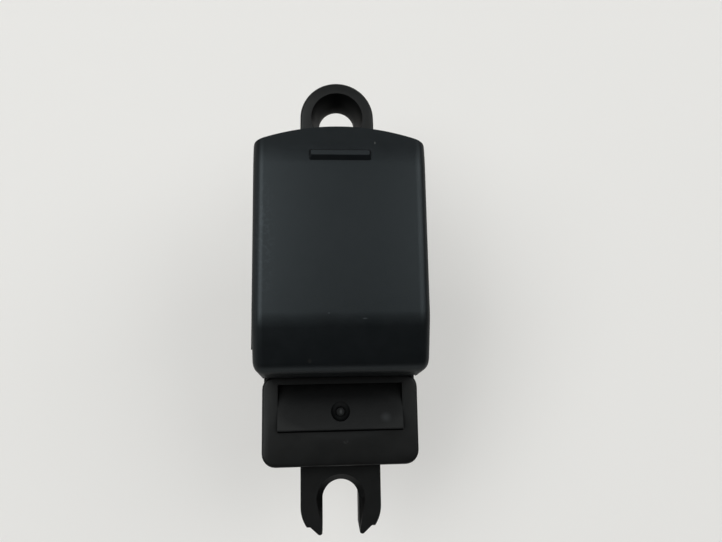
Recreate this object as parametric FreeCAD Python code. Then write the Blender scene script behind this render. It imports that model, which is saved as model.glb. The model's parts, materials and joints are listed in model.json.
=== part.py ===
import FreeCAD, Part
import math
import os

# Window switch unit. Millimetres, +Z up, +Y toward the ring ear, X across.
# The origin is the middle of the unit in plan, at the rim of the connector shroud.

# Mounting ears
ear_pitch = 60.0
ear_radius = 6.0
ear_top_z = 28.4
ear_thickness = 5.2
ring_bore_radius = 3.0
ring_lead_in_radius = 4.2
ring_lead_in_depth = 2.7
fork_slot_half_width = 2.75
fork_slot_chamfer = 0.9
fork_side_past_slot = 0.9
fork_shoulder_radius = 5.0
fork_step_reach = 3.8
fork_step_width = 0.5
fork_tip_reach = 4.94
fork_tip_radius = 0.4
ear_rib_width = 1.4
ear_rib_drop = 5.0
ear_rib_inset = 0.4
ear_rib_end_gap = 3.0

# Case
case_half_width = 11.5
case_near_y = -25.2
case_far_y = 16.0
case_bottom_z = 14.0
case_wall = 1.6
case_corner_radius = 2.0
case_draft = 0.4
deck_far_y = -12.06
deck_rise = 3.0
deck_edge_chamfer = 0.3
pad_half_width = 9.2
pad_far_y = -13.4
pad_length = 6.6
pad_sink = 0.8
pad_rise = 0.7
pad_edge_radius = 0.2
gate_inset_y = 4.0
gate_ring_radius = 1.4
gate_ring_depth = 0.25
gate_nub_radius = 0.5
gate_nub_height = 0.35
ceiling_drop = 6.1
ceiling_thickness = 1.7
hollow_corner_radius = 0.6

# Tower under the knob
pivot_y = 1.5
pivot_rise = 5.1
tower_half_length = 10.0
tower_gap = 0.4
tower_headroom = 4.1
tower_edge_radius = 1.5
trunnion_radius = 2.0
trunnion_clearance = 0.05
trunnion_end_gap = 0.3
trunnion_lead_in = 0.7
rock_angle = 7.0

# Side lugs
lug_reach = 2.1
lug_y = -5.7
lug_length = 5.0
lug_height = 5.6
lug_top_drop = 0.2
lug_tip_height = 1.3
lug_tip_radius = 0.35

# Knob
knob_half_width = 11.8
knob_wall = 1.4
knob_top_z = 43.0
knob_far_y = 21.93
knob_arch = 2.4
knob_far_corner_radius = 0.7
knob_edge_radius = 1.6
knob_roll_y = 18.0
knob_roll_drop = 1.0
knob_roll_radius = 14.0
knob_crease_y = -3.8
knob_crease_radius = 11.0
knob_facet_angle = 17.0
knob_nose_radius = 2.2
knob_face_angle = 13.2
knob_foot_y = -13.0
knob_skirt_gap = 2.4
knob_lip_thickness = 2.3
knob_lip_under_angle = 4.0
scoop_foot_y = 13.8
scoop_angle = 16.7
scoop_radius = 3.5
notch_rise = 4.6
deck_to_knob = 0.45
bar_width = 8.7
bar_length = 1.5
bar_height = 0.45
bar_y = 17.7
bar_slope = 0.5
bar_root = 0.3
boss_radius = 2.6
boss_depth = 1.4
boss_root = 0.05

# Drive stem
stem_half_width = 2.5
stem_half_thickness = 1.1
stem_end_radius = 1.5
stem_top_radius = 0.3
stem_end_lift = 1.35
stem_socket_wall = 0.9
stem_socket_depth = 2.2
stem_swing_gap = 0.45

# Return plungers and springs
plunger_offset = 6.5
plunger_radius = 2.5
plunger_clearance = 0.06
plunger_length = 5.0
plunger_sink = 0.4
plunger_neck_radius = 1.7
plunger_cap_angle = 24.0
plunger_dome_radius = 2.0
plunger_touch_gap = 0.03
plunger_bore_radius = 1.5
plunger_bore_depth = 3.2
spring_radius = 1.1
spring_wire_radius = 0.22
spring_turns = 5
spring_end_gap = 0.02

# Base and connector shroud
base_plate_thickness = 2.0
base_fit = 0.12
base_rim_height = 2.5
base_rim_wall = 1.2
shroud_half_width = 9.6
shroud_half_length = 7.4
shroud_wall = 1.3
shroud_corner_radius = 1.8
shroud_floor_thickness = 1.5
shroud_rib_start = 1.5
shroud_rib_width = 1.6
shroud_rib_rise = 0.9
catch_width = 4.2
catch_rise = 1.1
catch_z = 5.0
catch_height = 2.6
catch_land = 0.6
catch_edge_radius = 0.1
arm_width = 3.4
arm_thickness = 1.3
arm_height = 5.6
arm_slit = 0.5
arm_tip_draft = 0.2
nose_reach = 0.9
nose_height = 1.5
nose_top_drop = 0.4
window_gap = 0.25
rim_corner_radius = 0.5
contact_deck_inset = 0.4

# Terminals
strip_thickness = 0.64
pad_deck_rise = 2.0
pad_inner_x = 4.2
pad_outer_x = 7.2
blade_width = 2.3
blade_tip_z = 4.8
blade_point = 0.8
blade_fit = 0.05
bend_radius = 0.54
blade_sink = 0.5
bus_corner_radius = 0.5
bus_half_width = 1.2
battery_pad_start = 3.6
battery_pad_end = 5.4
master_pad_start = 0.3
master_pad_end = 3.1
motor_pad_start = 0.8
motor_pad_end = 4.5

# Contact carrier and clips
carrier_half_width = 7.8
carrier_runner_width = 0.45
carrier_runner_gap = 0.1
carrier_half_length = 7.4
carrier_height = 3.9
carrier_gap = 0.25
carrier_roof = 0.9
carrier_core_inset = 2.0
carrier_core_half_length = 0.9
carrier_core_floor = 1.2
carrier_corner = 0.8
carrier_slot_gap = 0.1
clip_x = 5.7
clip_half_width = 1.1
clip_toe_offset = 2.6
clip_toe_radius = 0.7
clip_thickness = 0.3
clip_touch_gap = 0.02
clip_half_length = 4.4
clip_pocket_gap = 0.3
clip_spring_radius = 0.9
clip_spring_wire_radius = 0.18
clip_spring_clearance = 0.35
clip_spring_turns = 3

# How far cuts reach past what they cut, how deep fused parts overlap, how close counts as the same
# place, and how round wire is divided
margin = 5.0
overlap = 1.0
touch = 0.001
wire_sides = 6
coil_steps = 12

# Worked out
ring_y = (ear_pitch + fork_tip_reach - ear_radius) / 2.0
slot_y = ring_y - ear_pitch
ear_bottom_z = ear_top_z - ear_thickness
deck_z = ear_top_z + deck_rise
pad_near_y = pad_far_y - pad_length
pivot_z = ear_top_z + pivot_rise
knob_skirt_z = ear_top_z + knob_skirt_gap
knob_roof_z = knob_top_z - knob_wall
notch_top_z = deck_z + notch_rise
boss_face_z = knob_roof_z - boss_depth
tower_top_z = knob_roof_z - tower_headroom
tower_half_width = knob_half_width - knob_wall - tower_gap
base_bottom_z = case_bottom_z - base_plate_thickness
shroud_floor_z = base_bottom_z - shroud_floor_thickness
pad_deck_z = case_bottom_z + pad_deck_rise
pad_top_z = pad_deck_z + strip_thickness
ceiling_z = ear_top_z - ceiling_drop
bore_floor_z = ceiling_z + ceiling_thickness
carrier_top_z = ceiling_z - carrier_gap
carrier_low_z = carrier_top_z - carrier_height
stem_end_z = carrier_low_z + stem_end_lift
clip_seat_z = pad_top_z + clip_touch_gap + 2 * clip_toe_radius - clip_thickness
clip_spring_top_z = carrier_top_z - carrier_roof
plunger_body_top_z = tower_top_z - plunger_sink
plunger_body_low_z = plunger_body_top_z - plunger_length


def vec(x, y, z):
    return FreeCAD.Vector(x, y, z)


def on_plan(z):
    return lambda u, v: vec(u, v, z)


def on_side(x):
    return lambda u, v: vec(x, u, v)


def on_section(y):
    return lambda u, v: vec(u, y, v)


def rounded_face(corners, place):
    """Flat face from corners (u, v, radius); a radius of 0 leaves the corner sharp."""
    spans = []
    count = len(corners)
    for i in range(count):
        u, v, radius = corners[i]
        here = place(u, v)
        before = place(*corners[i - 1][:2])
        after = place(*corners[(i + 1) % count][:2])
        back = (before - here).normalize()
        ahead = (after - here).normalize()
        half = back.getAngle(ahead) / 2.0
        if radius <= 0 or abs(half - math.pi / 2) < touch:
            spans.append((here, None, here))
            continue
        reach = radius / math.tan(half)
        inward = (back + ahead).normalize()
        middle = here + inward * (radius / math.sin(half) - radius)
        spans.append((here + back * reach, middle, here + ahead * reach))
    edges = []
    for i in range(count):
        start, middle, end = spans[i]
        if middle is not None:
            edges.append(Part.Arc(start, middle, end).toShape())
        following = spans[(i + 1) % count][0]
        if (following - end).Length > touch:
            edges.append(Part.LineSegment(end, following).toShape())
    return Part.Face(Part.Wire(edges))


def plan_block(corners, z_low, z_high):
    return rounded_face(corners, on_plan(z_low)).extrude(vec(0, 0, z_high - z_low))


def side_block(corners, x_low, x_high):
    return rounded_face(corners, on_side(x_low)).extrude(vec(x_high - x_low, 0, 0))


def section_block(corners, y_low, y_high):
    return rounded_face(corners, on_section(y_low)).extrude(vec(0, y_high - y_low, 0))


def rectangle(half_width, y_low, y_high, near_radius, far_radius):
    return [
        (-half_width, y_low, near_radius),
        (half_width, y_low, near_radius),
        (half_width, y_high, far_radius),
        (-half_width, y_high, far_radius),
    ]


def box(x_low, x_high, y_low, y_high, z_low, z_high):
    corner = vec(x_low, y_low, z_low)
    return Part.makeBox(x_high - x_low, y_high - y_low, z_high - z_low, corner)


def upright(radius, z_low, z_high, x, y):
    return Part.makeCylinder(radius, z_high - z_low, vec(x, y, z_low))


def crosswise(radius, x_low, x_high, y, z):
    return Part.makeCylinder(radius, x_high - x_low, vec(x_low, y, z), vec(1, 0, 0))


def both_sides(shape):
    return [shape, shape.mirror(vec(0, 0, 0), vec(1, 0, 0))]


def fuse(shapes):
    return shapes[0].multiFuse(shapes[1:]).removeSplitter()


def line_meet(p, p_angle, q, q_angle):
    """Where two lines of the side view cross; the angles are from +Y toward +Z, in degrees."""
    du = math.cos(math.radians(p_angle))
    dv = math.sin(math.radians(p_angle))
    eu = math.cos(math.radians(q_angle))
    ev = math.sin(math.radians(q_angle))
    along = ((q[0] - p[0]) * ev - (q[1] - p[1]) * eu) / (du * ev - dv * eu)
    return (p[0] + du * along, p[1] + dv * along)


def coil(radius, wire_radius, turns, z_low, z_high, x, y):
    """Helical spring between two levels, in short straight stretches that meet at mitres."""
    rise = (z_high - z_low - 2 * wire_radius) / (turns * coil_steps)
    sections = []
    for i in range(turns * coil_steps + 1):
        turn = 2 * math.pi * i / coil_steps
        outward = vec(math.cos(turn), math.sin(turn), 0)
        centre = vec(x, y, z_low + wire_radius + i * rise) + outward * radius
        ring = []
        for k in range(wire_sides):
            roll = 2 * math.pi * k / wire_sides
            up = vec(0, 0, wire_radius * math.sin(roll))
            ring.append(centre + outward * (wire_radius * math.cos(roll)) + up)
        sections.append(Part.makePolygon(ring + ring[:1]))
    return Part.makeLoft(sections, True, True)


def ear_blank(end_y, root_y):
    """Round-ended tongue from the case to the ear's centre."""
    neck = box(-ear_radius, ear_radius, root_y, end_y, ear_bottom_z, ear_top_z)
    return neck.fuse(upright(ear_radius, ear_bottom_z, ear_top_z, 0, end_y)).removeSplitter()


def fork_blank(root_y):
    """Tongue for the fork ear, with rounded shoulders; its ends are cut to tips later."""
    end_y = slot_y - fork_side_past_slot - fork_shoulder_radius
    corners = rectangle(ear_radius, end_y, root_y, fork_shoulder_radius, 0)
    return plan_block(corners, ear_bottom_z, ear_top_z)


def ear_ribs(end_y, root_y):
    """Two triangular ribs that brace an ear against the case wall."""
    away = math.copysign(1.0, end_y - root_y)
    stop_y = end_y - away * ear_rib_end_gap
    sunk_y = root_y - away * overlap
    corners = [
        (sunk_y, ear_bottom_z + overlap / 2, 0),
        (stop_y, ear_bottom_z + overlap / 2, 0),
        (stop_y, ear_bottom_z, 0),
        (root_y, ear_bottom_z - ear_rib_drop, 0),
        (sunk_y, ear_bottom_z - ear_rib_drop, 0),
    ]
    outer = ear_radius - ear_rib_inset
    return both_sides(side_block(corners, outer - ear_rib_width, outer))


def ring_hole():
    cone_z = ear_top_z - ring_lead_in_depth
    bore = upright(ring_bore_radius, ear_bottom_z - margin, ear_top_z, 0, ring_y)
    cone = Part.makeCone(
        ring_bore_radius, ring_lead_in_radius, ring_lead_in_depth, vec(0, ring_y, cone_z)
    )
    return bore.fuse(cone)


def fork_slot():
    """Open slot with a round end and a chamfer along its top edge."""
    w = fork_slot_half_width
    low = ear_bottom_z - margin
    high = ear_top_z + margin
    straight = box(-w, w, slot_y - ear_radius - margin, slot_y, low, high)
    slot = straight.fuse(upright(w, low, high, 0, slot_y))
    wide = w + fork_slot_chamfer
    start = ear_top_z - fork_slot_chamfer
    corners = [(-w, start, 0), (w, start, 0), (wide, ear_top_z, 0), (-wide, ear_top_z, 0)]
    groove = section_block(corners, slot_y - ear_radius - margin, slot_y)
    cone = Part.makeCone(w, wide, fork_slot_chamfer, vec(0, slot_y, start))
    return slot.fuse([groove, cone])


def tangent_point(start, centre, radius):
    """Where a line from start touches a circle, on the side that lies to the line's left."""
    away = centre - start
    reach = math.sqrt(away.Length ** 2 - radius ** 2)
    turn = math.atan2(away.y, away.x) + math.asin(radius / away.Length)
    return start + vec(reach * math.cos(turn), reach * math.sin(turn), 0)


def fork_ends():
    """What is cut away so that each prong has a small step and then tapers to a rounded tip."""
    low_y = slot_y - ear_radius - margin
    step_y = slot_y - fork_step_reach
    rise = step_y - (slot_y - fork_side_past_slot)
    shoulder_x = ear_radius - fork_shoulder_radius + math.sqrt(fork_shoulder_radius ** 2 - rise ** 2)
    step = vec(shoulder_x - fork_step_width, step_y, 0)
    tip = vec(fork_slot_half_width + fork_tip_radius, slot_y - fork_tip_reach + fork_tip_radius, 0)
    foot = tangent_point(step, tip, fork_tip_radius)
    corners = [
        (0, tip.y, 0),
        (tip.x, tip.y, 0),
        (foot.x, foot.y, 0),
        (step.x, step.y, 0),
        (ear_radius + overlap, step_y, 0),
        (ear_radius + overlap, low_y, 0),
        (0, low_y, 0),
    ]
    zone = plan_block(corners, ear_bottom_z - margin, ear_top_z + margin)
    round_end = upright(fork_tip_radius, ear_bottom_z - margin, ear_top_z + margin, tip.x, tip.y)
    return both_sides(zone.cut(round_end))


def case_body():
    """Drafted outer block of the case, wider at the shoulder than at the base."""
    top = rectangle(case_half_width, case_near_y, case_far_y, case_corner_radius, case_corner_radius)
    low = rectangle(
        case_half_width - case_draft,
        case_near_y + case_draft,
        case_far_y - case_draft,
        case_corner_radius,
        case_corner_radius,
    )
    wires = [
        rounded_face(low, on_plan(case_bottom_z)).OuterWire,
        rounded_face(top, on_plan(ear_top_z)).OuterWire,
    ]
    return Part.makeLoft(wires, True, True)


def deck_block():
    corners = rectangle(case_half_width, case_near_y, deck_far_y, case_corner_radius, case_corner_radius)
    block = plan_block(corners, ear_top_z - overlap, deck_z)
    rim = [e for e in block.Edges if min(v.Z for v in e.Vertexes) > deck_z - touch]
    return block.makeChamfer(deck_edge_chamfer, rim)


def pad_ramp():
    """The raised pad's wedge: low at the knob, proud at its near edge."""
    low = deck_z - pad_sink
    corners = [
        (pad_far_y, low, 0),
        (pad_near_y, deck_z + pad_rise, pad_edge_radius),
        (pad_near_y, low - overlap, 0),
        (pad_far_y, low - overlap, 0),
    ]
    return side_block(corners, -pad_half_width, pad_half_width)


def pad_hollow():
    """The pocket that the low end of the wedge lies in."""
    corners = rectangle(pad_half_width, pad_near_y, pad_far_y, 0, 0)
    return plan_block(corners, deck_z - pad_sink, deck_z + margin)


def gate_mark():
    """Ring groove and its nub where the moulding was fed."""
    y = pad_far_y - gate_inset_y
    slope = (pad_sink + pad_rise) / pad_length
    surface_z = deck_z - pad_sink + slope * gate_inset_y
    floor_z = surface_z - gate_ring_depth
    groove = upright(gate_ring_radius, floor_z, surface_z + overlap, 0, y)
    nub = upright(gate_nub_radius, floor_z - overlap / 2, floor_z + gate_nub_height, 0, y)
    return groove, nub


def tower():
    """Pedestal inside the knob, with rounded top edges and the two trunnion pins."""
    near = pivot_y - tower_half_length
    far = pivot_y + tower_half_length
    corners = [
        (near, ear_top_z - overlap, 0),
        (far, ear_top_z - overlap, 0),
        (far, tower_top_z, tower_edge_radius),
        (near, tower_top_z, tower_edge_radius),
    ]
    block = side_block(corners, -tower_half_width, tower_half_width)
    end_x = knob_half_width - trunnion_end_gap
    lead_x = end_x - trunnion_lead_in
    pin = crosswise(trunnion_radius, tower_half_width - overlap, lead_x, pivot_y, pivot_z)
    lead = Part.makeCone(
        trunnion_radius,
        trunnion_radius - trunnion_lead_in,
        trunnion_lead_in,
        vec(lead_x, pivot_y, pivot_z),
        vec(1, 0, 0),
    )
    return fuse([block] + both_sides(pin.fuse(lead)))


def stem_well():
    """Slot for the drive stem; it is as long as the stem's swing at the lowest level."""
    swing = (pivot_z - ceiling_z) * math.tan(math.radians(rock_angle))
    half = swing + stem_half_thickness + stem_swing_gap
    wide = stem_half_width + stem_swing_gap
    low = ceiling_z - overlap
    return box(-wide, wide, pivot_y - half, pivot_y + half, low, tower_top_z + margin)


def plunger_bores():
    radius = plunger_radius + plunger_clearance
    bores = []
    for y in (pivot_y - plunger_offset, pivot_y + plunger_offset):
        bores.append(upright(radius, bore_floor_z, tower_top_z + margin, 0, y))
    return bores


def case_hollow():
    """Contact chamber, and the cored space under the deck block."""
    half = case_half_width - case_draft - case_wall
    near = case_near_y + case_draft + case_wall
    far = case_far_y - case_draft - case_wall
    inner_radius = hollow_corner_radius
    split = pivot_y - tower_half_length
    low = case_bottom_z - overlap
    chamber = plan_block(rectangle(half, near, far, inner_radius, inner_radius), low, ceiling_z)
    front = rectangle(half, near, split, inner_radius, inner_radius)
    shoulder = plan_block(front, low, ear_top_z - case_wall)
    under = rectangle(half, near, deck_far_y - case_wall, inner_radius, inner_radius)
    deck_room = plan_block(under, low, deck_z - pad_sink - case_wall)
    return [chamber, shoulder, deck_room]


def arm_places():
    """Middles of the base's four snap arms along Y."""
    near = case_near_y + case_draft + case_wall + base_rim_wall + arm_width
    far = case_far_y - case_draft - case_wall - base_rim_wall - arm_width / 2
    return near, far


def nose_levels():
    high = case_bottom_z + arm_height - nose_top_drop
    return high - nose_height, high


def latch_windows():
    """Openings in the case walls that the snap noses spring into."""
    low, high = nose_levels()
    inner = case_half_width - case_draft - case_wall - overlap
    outer = case_half_width + overlap
    half = arm_width / 2 + window_gap
    cuts = []
    for y in arm_places():
        cut = box(inner, outer, y - half, y + half, low - window_gap, high + window_gap)
        cuts += both_sides(cut)
    return cuts


def side_lugs():
    """Wedge-shaped lugs on the two long sides, flush with the case at their feet."""
    root = case_half_width - overlap
    tip = case_half_width + lug_reach
    top = ear_top_z - lug_top_drop
    foot = ear_top_z - lug_height
    corners = [
        (root, top, 0),
        (tip, top, lug_tip_radius),
        (tip, top - lug_tip_height, lug_tip_radius),
        (case_half_width - case_draft, foot, 0),
        (root, foot, 0),
    ]
    lug = section_block(corners, lug_y - lug_length / 2, lug_y + lug_length / 2)
    return both_sides(lug)


def make_case():
    solids = [case_body(), deck_block(), tower()]
    solids += [ear_blank(ring_y, case_far_y - overlap), fork_blank(case_near_y + overlap)]
    solids += ear_ribs(ring_y, case_far_y) + ear_ribs(slot_y, case_near_y) + side_lugs()
    body = fuse(solids)
    groove, nub = gate_mark()
    body = body.cut(case_hollow() + latch_windows())
    body = body.cut(pad_hollow()).fuse(pad_ramp()).cut(groove).fuse(nub)
    body = body.cut([stem_well()] + plunger_bores())
    body = body.cut([ring_hole(), fork_slot()] + fork_ends())
    return body.removeSplitter()


def knob_corners(inset, bottom_z, lip):
    """Side outline of the knob, or of its hollow when inset by the wall."""
    top = knob_top_z - inset
    face_slope = 90.0 - knob_face_angle
    face_in = inset / math.cos(math.radians(knob_face_angle))
    foot = (knob_foot_y + face_in, knob_skirt_z)
    low_near = line_meet(foot, face_slope, (0, bottom_z), 0)
    drop = inset / math.cos(math.radians(knob_facet_angle)) - inset
    crease = (knob_crease_y, top)
    nose = line_meet((crease[0], crease[1] - drop), knob_facet_angle, foot, face_slope)
    crease = line_meet(nose, knob_facet_angle, (0, top), 0)
    nose_radius = max(knob_nose_radius - inset, hollow_corner_radius)
    corners = [(low_near[0], bottom_z, 0), (nose[0], nose[1], nose_radius)]
    corners.append((crease[0], crease[1], knob_crease_radius - inset))
    scoop_slope = 90.0 - scoop_angle
    wall_in = inset / math.cos(math.radians(scoop_angle))
    scoop = (scoop_foot_y - wall_in, knob_skirt_z)
    if lip:
        far = knob_far_y + overlap
        slope = knob_roll_drop / (knob_far_y - knob_roll_y)
        under = top - knob_roll_drop - knob_lip_thickness
        turn = line_meet(scoop, scoop_slope, (far, under), knob_lip_under_angle)
        corners.append((knob_roll_y, top, knob_roll_radius))
        corners.append((far, top - slope * (far - knob_roll_y), 0))
        corners.append((far, under, 0))
        corners.append((turn[0], turn[1], scoop_radius))
    else:
        roof = line_meet(scoop, scoop_slope, (0, top), 0)
        corners.append((roof[0], roof[1], hollow_corner_radius))
    low_far = line_meet(scoop, scoop_slope, (0, bottom_z), 0)
    corners.append((low_far[0], bottom_z, 0))
    return corners


def knob_plan():
    """Plan outline of the knob: parallel sides and an arched far edge."""
    half = knob_half_width
    shoulder_y = knob_far_y - knob_arch
    arch_radius = (half ** 2 + knob_arch ** 2) / (2 * knob_arch)
    low = knob_skirt_z - margin
    high = knob_top_z + margin
    slab = box(-half, half, knob_foot_y - margin, knob_far_y, low, high)
    disc = upright(arch_radius, low, high, 0, knob_far_y - arch_radius)
    far_zone = box(-half - overlap, half + overlap, shoulder_y - margin, knob_far_y + overlap, low, high)
    plan = slab.cut(far_zone.cut(disc))
    corners = []
    for edge in plan.Edges:
        ends = edge.Vertexes
        if len(ends) < 2 or abs(ends[0].Z - ends[1].Z) < high - low - touch:
            continue
        if abs(ends[0].Y - shoulder_y) < touch:
            corners.append(edge)
    return plan.makeFillet(knob_far_corner_radius, corners)


def knob_shell():
    """Hollow paddle with rounded long edges, open underneath."""
    half = knob_half_width
    blank = side_block(knob_corners(0, knob_skirt_z, True), -half, half)
    lip_under_z = knob_top_z - knob_roll_drop - knob_lip_thickness / 2
    sides = []
    for edge in blank.Edges:
        at_side = all(abs(abs(v.X) - half) < touch for v in edge.Vertexes)
        middle = edge.CenterOfMass
        foot = middle.z < knob_skirt_z + touch
        underneath = middle.y > scoop_foot_y and middle.z < lip_under_z
        tip = middle.y > knob_far_y
        if at_side and not foot and not underneath and not tip:
            sides.append(edge)
    blank = blank.makeFillet(knob_edge_radius, sides)
    shell = blank.common(knob_plan())
    inner = half - knob_wall
    hollow = side_block(knob_corners(knob_wall, knob_skirt_z - margin, False), -inner, inner)
    return shell.cut(hollow)


def finger_bar():
    """Raised bar with sloping sides and chamfered ends."""
    wires = []
    slope = bar_slope / bar_height
    for rise in (-bar_root, bar_height):
        trim = slope * rise
        x = bar_width / 2 - trim
        y = bar_length / 2 - trim
        face = rounded_face(rectangle(x, bar_y - y, bar_y + y, 0, 0), on_plan(knob_top_z + rise))
        wires.append(face.OuterWire)
    return Part.makeLoft(wires, True, True)


def knob_notch():
    """Space for the deck block in the knob's near wall."""
    grown = deck_to_knob
    corners = rectangle(
        case_half_width + grown,
        case_near_y - grown,
        deck_far_y + grown,
        case_corner_radius + grown,
        case_corner_radius + grown,
    )
    return plan_block(corners, ear_top_z, notch_top_z)


def knob_bosses():
    """Two faces for the plungers, and the socket that grips the stem."""
    parts = []
    top = knob_roof_z + boss_root
    for y in (pivot_y - plunger_offset, pivot_y + plunger_offset):
        parts.append(upright(boss_radius, boss_face_z, top, 0, y))
    wide = stem_half_width + stem_socket_wall
    thick = stem_half_thickness + stem_socket_wall
    low = knob_roof_z - stem_socket_depth
    socket = box(-wide, wide, pivot_y - thick, pivot_y + thick, low, top)
    hole = box(
        -stem_half_width,
        stem_half_width,
        pivot_y - stem_half_thickness,
        pivot_y + stem_half_thickness,
        low - overlap,
        knob_roof_z,
    )
    parts.append(socket.cut(hole))
    return parts


def make_knob():
    knob = fuse([knob_shell(), finger_bar()] + knob_bosses())
    radius = trunnion_radius + trunnion_clearance
    bore = crosswise(radius, tower_half_width, knob_half_width + overlap, pivot_y, pivot_z)
    return knob.cut([knob_notch()] + both_sides(bore)).removeSplitter()


def make_stem():
    waist = stem_half_thickness
    corners = [
        (pivot_y - waist, knob_roof_z, stem_top_radius),
        (pivot_y - waist, stem_end_z, 0),
        (pivot_y + waist, stem_end_z, 0),
        (pivot_y + waist, knob_roof_z, stem_top_radius),
    ]
    blade = side_block(corners, -stem_half_width, stem_half_width)
    end = crosswise(stem_end_radius, -stem_half_width, stem_half_width, pivot_y, stem_end_z)
    return fuse([blade, end])


def make_plunger(y):
    """Turned plunger: a domed cap on a cone, a plain skirt and a bore for the spring."""
    tip_z = boss_face_z - plunger_touch_gap
    centre_z = tip_z - plunger_dome_radius
    cap = math.radians(plunger_cap_angle)
    tip = vec(0, 0, tip_z)
    middle = vec(math.sin(cap / 2), 0, math.cos(cap / 2)) * plunger_dome_radius + vec(0, 0, centre_z)
    rim = vec(math.sin(cap), 0, math.cos(cap)) * plunger_dome_radius + vec(0, 0, centre_z)
    shoulder = vec(plunger_neck_radius, 0, rim.z - (plunger_neck_radius - rim.x))
    outline = [
        rim,
        shoulder,
        vec(plunger_neck_radius, 0, plunger_body_top_z),
        vec(plunger_radius, 0, plunger_body_top_z),
        vec(plunger_radius, 0, plunger_body_low_z),
        vec(0, 0, plunger_body_low_z),
        tip,
    ]
    edges = [Part.Arc(tip, middle, rim).toShape()]
    edges += [Part.LineSegment(a, b).toShape() for a, b in zip(outline, outline[1:])]
    solid = Part.Face(Part.Wire(edges)).revolve(vec(0, 0, 0), vec(0, 0, 1), 360)
    bore_top = plunger_body_low_z + plunger_bore_depth
    solid = solid.cut(upright(plunger_bore_radius, plunger_body_low_z - overlap, bore_top, 0, 0))
    solid.translate(vec(0, y, 0))
    return solid


def make_return_spring(y):
    top = plunger_body_low_z + plunger_bore_depth - spring_end_gap
    return coil(spring_radius, spring_wire_radius, spring_turns, bore_floor_z, top, 0, y)


def terminal_slots():
    """Slots in the base for the five blades."""
    cuts = []
    long = blade_width / 2 + blade_fit
    thick = strip_thickness / 2 + blade_fit
    low = shroud_floor_z - overlap
    for x, y in blade_places().values():
        middle = x + math.copysign(strip_thickness / 2, x) if x else 0
        cuts.append(box(middle - thick, middle + thick, y - long, y + long, low, pad_deck_z + overlap))
    return cuts


def blade_places():
    """Blade name to the inner X of its blade and the middle of its width on Y."""
    motor = (motor_pad_start + motor_pad_end) / 2
    master = (master_pad_start + master_pad_end) / 2
    return {
        "terminal_motor_up": (-pad_inner_x, pivot_y - motor),
        "terminal_master_up": (-pad_inner_x, pivot_y + master),
        "terminal_motor_down": (pad_inner_x, pivot_y + motor),
        "terminal_master_down": (pad_inner_x, pivot_y - master),
        "terminal_battery": (0, pivot_y),
    }


def blade(x_low, y):
    """Straight blade with a pointed tip, below the pads."""
    half = blade_width / 2
    corners = [
        (y - half, pad_deck_z, 0),
        (y - half, blade_tip_z + blade_point, 0),
        (y - half + blade_point / 2, blade_tip_z, 0),
        (y + half - blade_point / 2, blade_tip_z, 0),
        (y + half, blade_tip_z + blade_point, 0),
        (y + half, pad_deck_z, 0),
    ]
    return side_block(corners, x_low, x_low + strip_thickness)


def make_side_terminal(side, y, pad_low, pad_high):
    """Pad on the base with its blade bent down from the inner edge."""
    t = strip_thickness
    bend = [
        (pad_inner_x, pad_deck_z - blade_sink, 0),
        (pad_inner_x, pad_top_z, bend_radius),
        (pad_outer_x, pad_top_z, 0),
        (pad_outer_x, pad_deck_z, 0),
        (pad_inner_x + t, pad_deck_z, 0),
        (pad_inner_x + t, pad_deck_z - blade_sink, 0),
    ]
    half = blade_width / 2
    strip = section_block(bend, y - half, y + half)
    pad = box(pad_inner_x + t, pad_outer_x, pad_low, pad_high, pad_deck_z, pad_top_z)
    solid = fuse([strip, pad, blade(pad_inner_x, y)])
    if side < 0:
        solid = solid.mirror(vec(0, 0, 0), vec(1, 0, 0))
    return solid


def make_battery_terminal():
    """Z-shaped bus with a pad in each row, and one blade in the middle."""
    b = bus_half_width
    s = battery_pad_start
    e = battery_pad_end
    x = pad_outer_x
    r = bus_corner_radius
    half = [(x, -e, 0), (x, -s, 0), (b, -s, r), (b, e, r)]
    turned = [(-u, -v, radius) for u, v, radius in half]
    corners = [(u, v + pivot_y, radius) for u, v, radius in half + turned]
    bus = plan_block(corners, pad_deck_z, pad_top_z)
    return fuse([bus, blade(-strip_thickness / 2, pivot_y)])


def base_outline(gap, radius):
    half = case_half_width - case_draft - gap
    near = case_near_y + case_draft + gap
    far = case_far_y - case_draft - gap
    return rectangle(half, near, far, radius, radius)


def snap_arm(y):
    """Upright arm with a wedge nose that springs into a window of the case."""
    outer = case_half_width - case_draft - case_wall - base_fit
    inner = outer - arm_thickness
    low, high = nose_levels()
    top = case_bottom_z + arm_height
    corners = [
        (inner, case_bottom_z - overlap / 2, 0),
        (outer, case_bottom_z - overlap / 2, 0),
        (outer, low, 0),
        (outer + nose_reach, low, 0),
        (outer, high, 0),
        (outer - arm_tip_draft, top, 0),
        (inner, top, 0),
    ]
    return section_block(corners, y - arm_width / 2, y + arm_width / 2)


def shroud_outline(inset, radius):
    return rectangle(
        shroud_half_width - inset,
        pivot_y - shroud_half_length + inset,
        pivot_y + shroud_half_length - inset,
        radius,
        radius,
    )


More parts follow.
